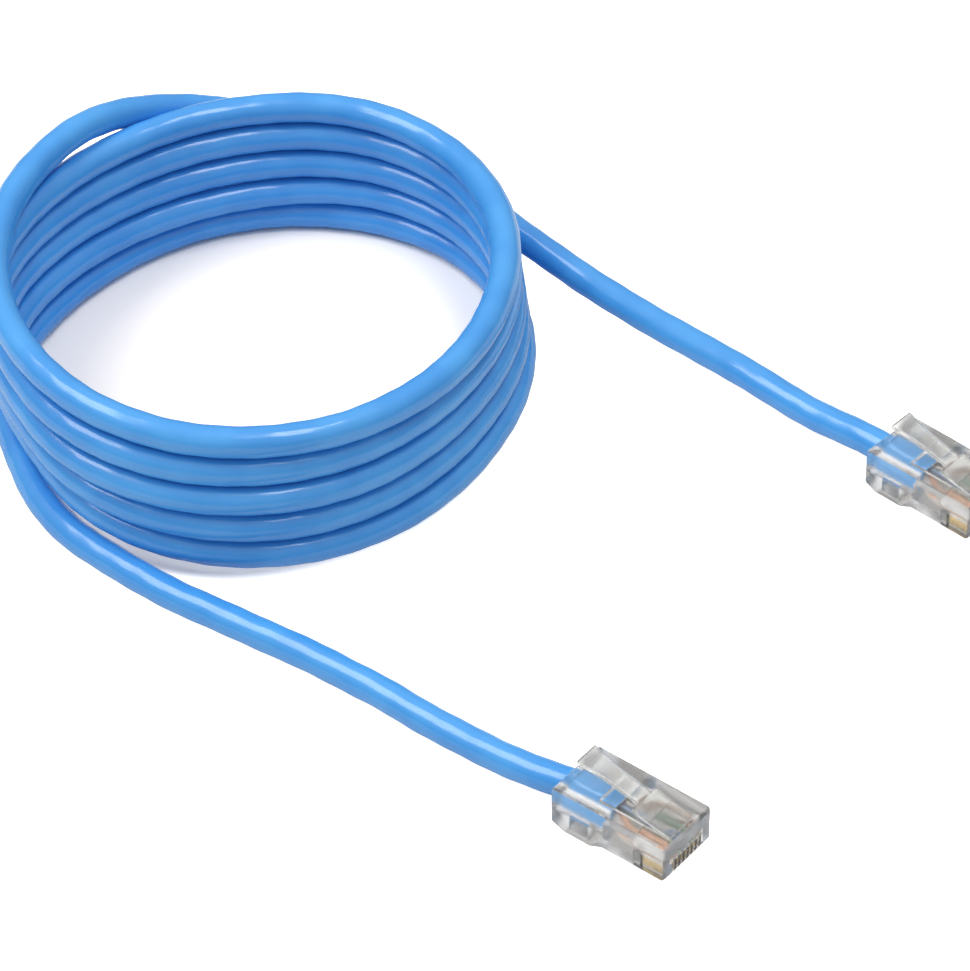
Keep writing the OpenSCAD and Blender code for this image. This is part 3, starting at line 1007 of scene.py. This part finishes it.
@dataclass
class Plug:
    """One clear eight-way plug, in its own frame: x runs from its cable end to its nose."""

    place: PlugPlace
    length: float = 21.46
    width: float = 11.68
    height: float = 7.7
    rear_drop: float = 1.1            # how much lower the crimped rear reaches
    rear_l: float = 9.7
    rear_slope: float = 2.5
    edge: float = 0.35
    corner: float = 0.5
    soft_edge: float = 0.11
    mouth_r: float = 2.9
    mouth_depth: float = 1.2
    fit: float = 0.1
    wire_r: float = 0.42
    pitch: float = 1.02
    fan_x: tuple[float, ...] = (9.6, 10.0, 13.01, 15.01)    # where the wires spread and sink
    fan_half: float = 1.49
    row_half: float = 0.54
    wire_end: float = 20.36
    contact_x: float = 16.71
    slot_w: float = 0.45
    wire_bar: Point2 = (15.21, 16.21)
    wire_sink: float = 0.381
    strain_bar: Point2 = (3.2, 6.4)
    strain_w: float = 7.4
    bar_edge: float = 0.08
    root: Point2 = (19.9, 7.3)
    root_r: float = 0.45
    hinge_gap: float = 0.05
    latch_w: float = 6.0
    latch_t: float = 0.8
    latch_l: float = 18.3
    latch_gap: float = 0.2
    latch_angle: float = 12.5
    lever_w: float = 3.25
    lever_lift: float = 0.35
    shoulder: float = 6.965
    channel: Point2 = (7.2, 6.8)      # where the latch's channel starts, and its floor

    def finished(self, name: str, solid: bmesh.types.BMesh | bpy.types.Mesh,
                 material: bpy.types.Material, node: str,
                 body: str = CABLE_BODY) -> None:
        """Puts a solid in its place as a piece that stands for a node.

        Args:
            name: the new piece's name, without the plug's end.
            solid: the shape in the plug's own frame, in millimetres.
            material: its material.
            node: the node that it replaces, without the plug's end.
            body: the body that it moves with.
        """
        full = f"{self.place.end}_{name}"
        mesh = mesh_of(solid, full) if isinstance(solid, bmesh.types.BMesh) else solid
        mesh.name = full
        mesh.transform(self.place.matrix() @ Matrix.Scale(MM, 4))
        piece = new_object(full, mesh, material)
        smooth_faces(mesh)
        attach(piece, body)
        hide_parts(f"{self.place.end}_{node}")
        LOG.info("%s: %d faces", full, len(mesh.polygons))

    def pin_y(self, number: int) -> float:
        """The sideways place of a wire and its contact, numbered from 0."""
        return (number - (WAYS - 1) / 2) * self.pitch

    def carved(self, solid: bmesh.types.BMesh, cuts: Sequence[bmesh.types.BMesh]) -> bpy.types.Mesh:
        """Takes solids away from a solid.

        Args:
            solid: the solid, which is used up.
            cuts: what is taken away, also used up.

        Returns:
            The mesh of what is left.
        """
        whole = new_object("carved", mesh_of(solid, "carved"))
        tools: list[bpy.types.Object] = []
        for cut in cuts:
            tool = new_object("cut", mesh_of(cut, "cut"))
            modifier = whole.modifiers.new("cut", "BOOLEAN")
            modifier.operation = "DIFFERENCE"
            modifier.solver = "EXACT"
            modifier.object = tool
            tools.append(tool)
        made = baked(whole, "carved")
        for piece in (whole, *tools):
            bpy.data.objects.remove(piece)
        return made

    def side_outline(self) -> list[Point2]:
        """The plug seen from its side."""
        drop, cut = self.rear_drop, self.corner
        return [(0, drop), (self.rear_slope, 0), (self.rear_l - 2 * drop, 0), (self.rear_l, drop),
                (self.length - cut, drop), (self.length, drop + cut),
                (self.length, self.height - cut), (self.length - cut, self.height),
                (cut, self.height), (0, self.height - cut)]

    def housing(self, material: bpy.types.Material) -> None:
        """The clear body, with its mouth, pockets, slots and latch channel.

        Args:
            material: the body's clear plastic.
        """
        close, past = 0.001, 0.01
        side = self.width / 2
        solid = prism(self.side_outline(), Axis.Y, -side, side)
        level = [e for e in solid.edges if abs(e.verts[0].co.y - e.verts[1].co.y) < close]
        upright = [e for e in level
                   if all(v.co.x < close or v.co.x > self.length - close for v in e.verts)]
        bmesh.ops.bevel(solid, geom=upright, offset=self.edge, segments=1, profile=0.5,
                        affect="EDGES")
        bevelled(solid, self.soft_edge)
        z = CORD_Z
        fit = self.fit
        row = WAYS * self.pitch + 2 * fit
        w, h = PRESSED
        mouth = rounded(2 * self.mouth_r, 2 * self.mouth_r, self.mouth_r, (0, z), 8)
        pocket = rounded(w + 2 * fit, h + 2 * fit, h / 2 + fit, (0, z), 6)
        hinge = arc(self.root, self.root_r + self.hinge_gap, 0, 337.5, 15)
        row_x = self.fan_x[-1]
        latch_half = self.latch_w / 2 + self.latch_gap
        cuts = [
            prism(mouth, Axis.X, -1, self.mouth_depth),
            prism(pocket, Axis.X, self.mouth_depth - past, JACKET_DEPTH + past),
            block(JACKET_DEPTH, row_x, row, z - self.fan_half, z + self.fan_half),
            block(row_x - past, self.wire_end + fit, row, z - self.row_half, z + self.row_half),
            block(self.strain_bar[0] - fit, self.strain_bar[1] + fit, self.strain_w + 2 * fit,
                  -1, z - h / 4),
            block(self.wire_bar[0] - fit, self.wire_bar[1] + fit, row, -1, z),
            block(self.channel[0], self.root[0], 2 * latch_half, self.channel[1],
                  self.height + 1),
            prism(hinge, Axis.Y, -latch_half, latch_half),
        ]
        cuts += [block(self.contact_x - fit, self.length + 1, self.slot_w, -1, z, self.pin_y(i))
                 for i in range(WAYS)]
        self.finished("clear_body", self.carved(solid, cuts), material, "housing")

    def latch(self, material: bpy.types.Material) -> None:
        """The springy latch: a wide root, two locking shoulders and a lever that flares.

        Args:
            material: the latch's clear plastic.
        """
        w, t, lever, lift = self.latch_w, self.latch_t, self.lever_w, self.lever_lift
        knee, tip = self.shoulder, self.latch_l
        # Distance from the root, width, height over the latch's line and thickness
        stations = [(-0.45, 5.7, 0, 0.34), (-0.38, 5.9, 0, 0.56), (-0.2, w, 0, 0.84),
                    (0, w, 0, 0.9), (0.35, w, 0, 0.84), (1, w, 0, t), (3, w, 0, t),
                    (knee - 1.2, w, 0, t), (knee - 0.5, w, 0.08, 0.92),
                    (knee - 0.08, w, 0.16, 1.04), (knee, 5.8, 0.18, 1.04),
                    (knee + 0.02, lever, 0.19, 1.02), (knee + 0.4, lever, 0.3, 0.86),
                    (knee + 1, lever, lift, t), (tip - 4, lever, lift, t), (tip - 2, 4, lift, t),
                    (tip - 0.5, 4.65, lift, t), (tip - 0.12, 4.7, lift, 0.72),
                    (tip, 4.45, lift, 0.5)]
        turned = Matrix.Rotation(math.radians(self.latch_angle), 4, "Y")
        root = Vector((self.root[0], 0, self.root[1]))
        sections = []
        for along, wide, up, thick in stations:
            edge = rounded(wide, thick, min(0.16, thick / 2.2), (0, up), 3)
            sections.append([root + turned @ Vector((-along, y, z)) for y, z in edge])
        self.finished("clear_latch", lofted(sections), material, "latch",
                      f"{self.place.end}_latch")

    def bars(self, material: bpy.types.Material) -> None:
        """The bars that the crimp presses on the jacket and on the wires.

        Args:
            material: the bars' clear plastic.
        """
        low = CORD_Z - PRESSED[1] / 2
        x0, x1 = self.strain_bar
        strain = prism([(x0, 0.3), (x1 - 0.4, 0.3), (x1, 0.7), (x1, low - 0.3), (x1 - 0.3, low),
                        (x0 + 0.5, low), (x0, low - 0.5)],
                       Axis.Y, -self.strain_w / 2, self.strain_w / 2)
        self.finished("jacket_bar", bevelled(strain, self.bar_edge), material,
                      "strain_bar")
        row = block(*self.wire_bar, WAYS * self.pitch, self.rear_drop + 0.3,
                    CORD_Z - self.wire_sink)
        self.finished("row_bar", bevelled(row, self.bar_edge), material, "wire_bar")

    def wires(self, insulation: dict[str, bpy.types.Material]) -> None:
        """The wires, which fan out from the jacket and lie side by side under the contacts.

        Args:
            insulation: the materials by the slots' names, in the order of the ways.
        """
        # Where each wire leaves the jacket: sideways, and the row over or under the middle
        starts = [(-2.1, 0), (-1.1, 0), (-0.48, -1), (-0.48, 1),
                  (0.48, 1), (0.48, -1), (1.1, 0), (2.1, 0)]
        tree = TubeTree()
        for i, ((y, up), (name, material)) in enumerate(zip(starts, insulation.items())):
            ys = (y, y, self.pin_y(i), self.pin_y(i), self.pin_y(i))
            zs = (*[CORD_Z + PAIR_OFFSET * up] * 3, CORD_Z, CORD_Z)
            corners = zip((*self.fan_x, self.wire_end), ys, zs)
            path = smooth_line([self.place.point(*p) for p in corners], 0.25 * MM, 6)
            piece = tree.piece(f"{self.place.end}_core_{i + 1}", [path], self.wire_r * MM, 14,
                               material)
            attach(piece, CABLE_BODY)
            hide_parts(f"{self.place.end}_wire_{i + 1}")

    def build(self, plastics: ClearPlastics, insulation: dict[str, bpy.types.Material],
              gold: bpy.types.Material) -> None:
        """Builds the plug and dresses its contacts.

        Args:
            plastics: the clear materials.
            insulation: the wires' materials.
            gold: the contacts' plating.
        """
        self.housing(plastics.body)
        self.latch(plastics.latch)
        self.bars(plastics.bar)
        self.wires(insulation)
        for i in range(WAYS):
            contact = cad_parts[f"{self.place.end}_contact_{i + 1}"]
            for slot in contact.material_slots:
                slot.material = gold
        LOG.info("%s plug: body, latch, two bars, wires and contacts", self.place.end)


# ------------------------------------------------------------
# The studio
# ------------------------------------------------------------


@dataclass(frozen=True)
class Lamp:
    """A soft rectangular lamp that faces the middle of the object."""

    name: str
    way: tuple[float, float, float]
    long_way: tuple[float, float, float]
    size: tuple[float, float]
    watts: float
    distance: float = 1.0

    def build(self, middle: Vector) -> None:
        """Puts the lamp in the scene.

        Args:
            middle: the point that the lamp faces.
        """
        data = bpy.data.lights.new(self.name, "AREA")
        data.shape = "RECTANGLE"
        data.size, data.size_y = self.size
        data.energy = self.watts
        lamp = bpy.data.objects.new(self.name, data)
        bpy.context.scene.collection.objects.link(lamp)
        back = Vector(self.way).normalized()
        side = Vector(self.long_way).cross(back).normalized()
        turned = Matrix((back.cross(side), side, back)).transposed().to_4x4()
        lamp.matrix_world = Matrix.Translation(middle + back * self.distance) @ turned


@dataclass(frozen=True)
class Studio:
    """A pale floor with a painted glow outside the coil, soft lamps and the camera."""

    target: tuple[float, float, float] = (-47.47, 40.68, 0.0)
    distance: float = 807.573
    elevation: float = 41.757
    lens: float = 184.43
    floor_size: float = 6.0
    horizon: float = 0.12
    zenith: float = 0.85
    # The strength of the floor's painted glow outside the coil
    painted_floor_glow: float = 0.9
    # Brighter than white and warm: painted light that whitens the floor for the camera and takes
    # the cord's blue out of its shadow
    lit_floor: Colour = (1.28, 1.19, 1.08)
    # The clear plugs also show the floor's painted glow and over-bright colour
    seen_through: float = 0.25        # the share of the lit floor that the clear plugs show
    # The oval round the coil: outside it the floor glows with painted light that hides the shadow
    coil_middle: Point2 = (-83.8, 63.8)
    coil_reach: Point2 = (46.6, 40.6)
    coil_way: float = 59.5
    coil_edge: Point2 = (0.97, 1.03)
    lamps: tuple[Lamp, ...] = (
        Lamp("left_lamp", (-0.56, 0.03, 0.83), (0.28, 0.55, 0.2), (0.72, 0.34), 4.4),
        Lamp("right_lamp", (0.23, -0.063, 0.953), (0.0, 1.0, 0.0), (0.5, 0.2), 2.4))

    def camera(self) -> None:
        """Makes the camera and gives it to the scene."""
        data = bpy.data.cameras.new("camera")
        data.lens = self.lens
        data.sensor_width = 36.0
        data.clip_start = 0.01
        camera = bpy.data.objects.new("camera", data)
        bpy.context.scene.collection.objects.link(camera)
        e = math.radians(self.elevation)
        back = Vector((0, -math.cos(e), math.sin(e)))
        camera.location = (Vector(self.target) + back * self.distance) * MM
        camera.rotation_euler = (math.pi / 2 - e, 0, 0)
        bpy.context.scene.camera = camera

    def floor(self) -> None:
        """A matt white floor. Outside an oval round the coil it glows for the camera, a painted
        light that covers the object's shadow there; inside the oval the shadow stays.
        """
        nodes = Nodes("white_floor")
        nodes.set(Base_Color=(0.8, 0.8, 0.8), Roughness=1.0, Specular_IOR_Level=0.0)
        inside = nodes.add("ShaderNodeMapping", {"vector_type": "TEXTURE"}, {
            "Vector": nodes.place(), "Location": Vector((*self.coil_middle, 0)) * MM,
            "Rotation": (0, 0, math.radians(self.coil_way)),
            "Scale": (*(r * MM for r in self.coil_reach), 1)})
        reach = nodes.add("ShaderNodeVectorMath", {"operation": "LENGTH"}, {0: inside}, "Value")
        # Painted light: 1 outside the oval round the coil, where the floor glows over its shadow,
        # and 0 inside it
        painted_glow_mask = nodes.mix(reach.between(*self.coil_edge), (0, 0, 0), (1, 1, 1))
        lit = nodes.add("ShaderNodeBsdfPrincipled", {}, {
            "Base Color": self.lit_floor, "Roughness": 1.0, "Specular IOR Level": 0.0,
            "Emission Strength": self.painted_floor_glow, "Emission Color": painted_glow_mask})
        camera = nodes.add("ShaderNodeLightPath", output="Is Camera Ray")
        through = Sock(nodes, camera.socket.node.outputs["Is Transmission Ray"])
        blend = nodes.add("ShaderNodeMixShader", {}, {
            0: camera + self.seen_through * through, 1: nodes.shader.outputs[0], 2: lit})
        nodes.put(nodes.output.inputs["Surface"], blend)
        half = self.floor_size / 2
        mesh = bpy.data.meshes.new("floor")
        mesh.from_pydata([(-half, -half, 0), (half, -half, 0), (half, half, 0), (-half, half, 0)],
                         [], [(0, 1, 2, 3)])
        new_object("floor", mesh, nodes.material)

    def sky(self) -> None:
        """A white world. As a light it is dim at the horizon and brighter overhead."""
        world = bpy.data.worlds.new("studio")
        bpy.context.scene.world = world
        world.use_nodes = True
        sky = Tree(world.node_tree)
        place = sky.node("ShaderNodeTexCoord")
        parts = sky.node("ShaderNodeSeparateXYZ", {}, {0: place.outputs["Generated"]})
        height = sky.node("ShaderNodeMapRange", {}, {
            "Value": parts.outputs["Z"], "From Min": 0.0, "From Max": 1.0,
            "To Min": self.horizon, "To Max": self.zenith})
        dim = sky.node("ShaderNodeBackground", {}, {"Color": height.outputs[0]})
        bright = sky.node("ShaderNodeBackground", {}, {"Color": (1, 1, 1)})
        path = sky.node("ShaderNodeLightPath")
        either = sky.node("ShaderNodeMath", {"operation": "ADD"}, {
            0: path.outputs["Is Camera Ray"], 1: path.outputs["Is Transmission Ray"]})
        blend = sky.node("ShaderNodeMixShader", {}, {
            0: either.outputs[0], 1: dim.outputs[0], 2: bright.outputs[0]})
        sky.node("ShaderNodeOutputWorld", {}, {"Surface": blend.outputs[0]})

    def build(self) -> None:
        """Makes the whole studio."""
        bpy.context.scene.view_settings.view_transform = "Standard"
        self.camera()
        self.floor()
        self.sky()
        for lamp in self.lamps:
            lamp.build(Vector(self.target) * MM)


def main() -> None:
    """Builds the studio, the cord and the plugs."""
    logging.basicConfig(level=logging.INFO, format="%(name)s %(message)s")
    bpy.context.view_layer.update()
    Studio().build()
    cord = Cord()
    cord.build()
    TwistedPairs(cord.route).build()
    plastics = ClearPlastics()
    insulation = wire_insulation()
    gold = GoldFinish().material()
    for place in (NEAR, FAR):
        Plug(place).build(plastics, insulation, gold)
    LOG.info("%d CAD nodes in the frame", len(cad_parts))


if __name__ == "__main__":
    main()
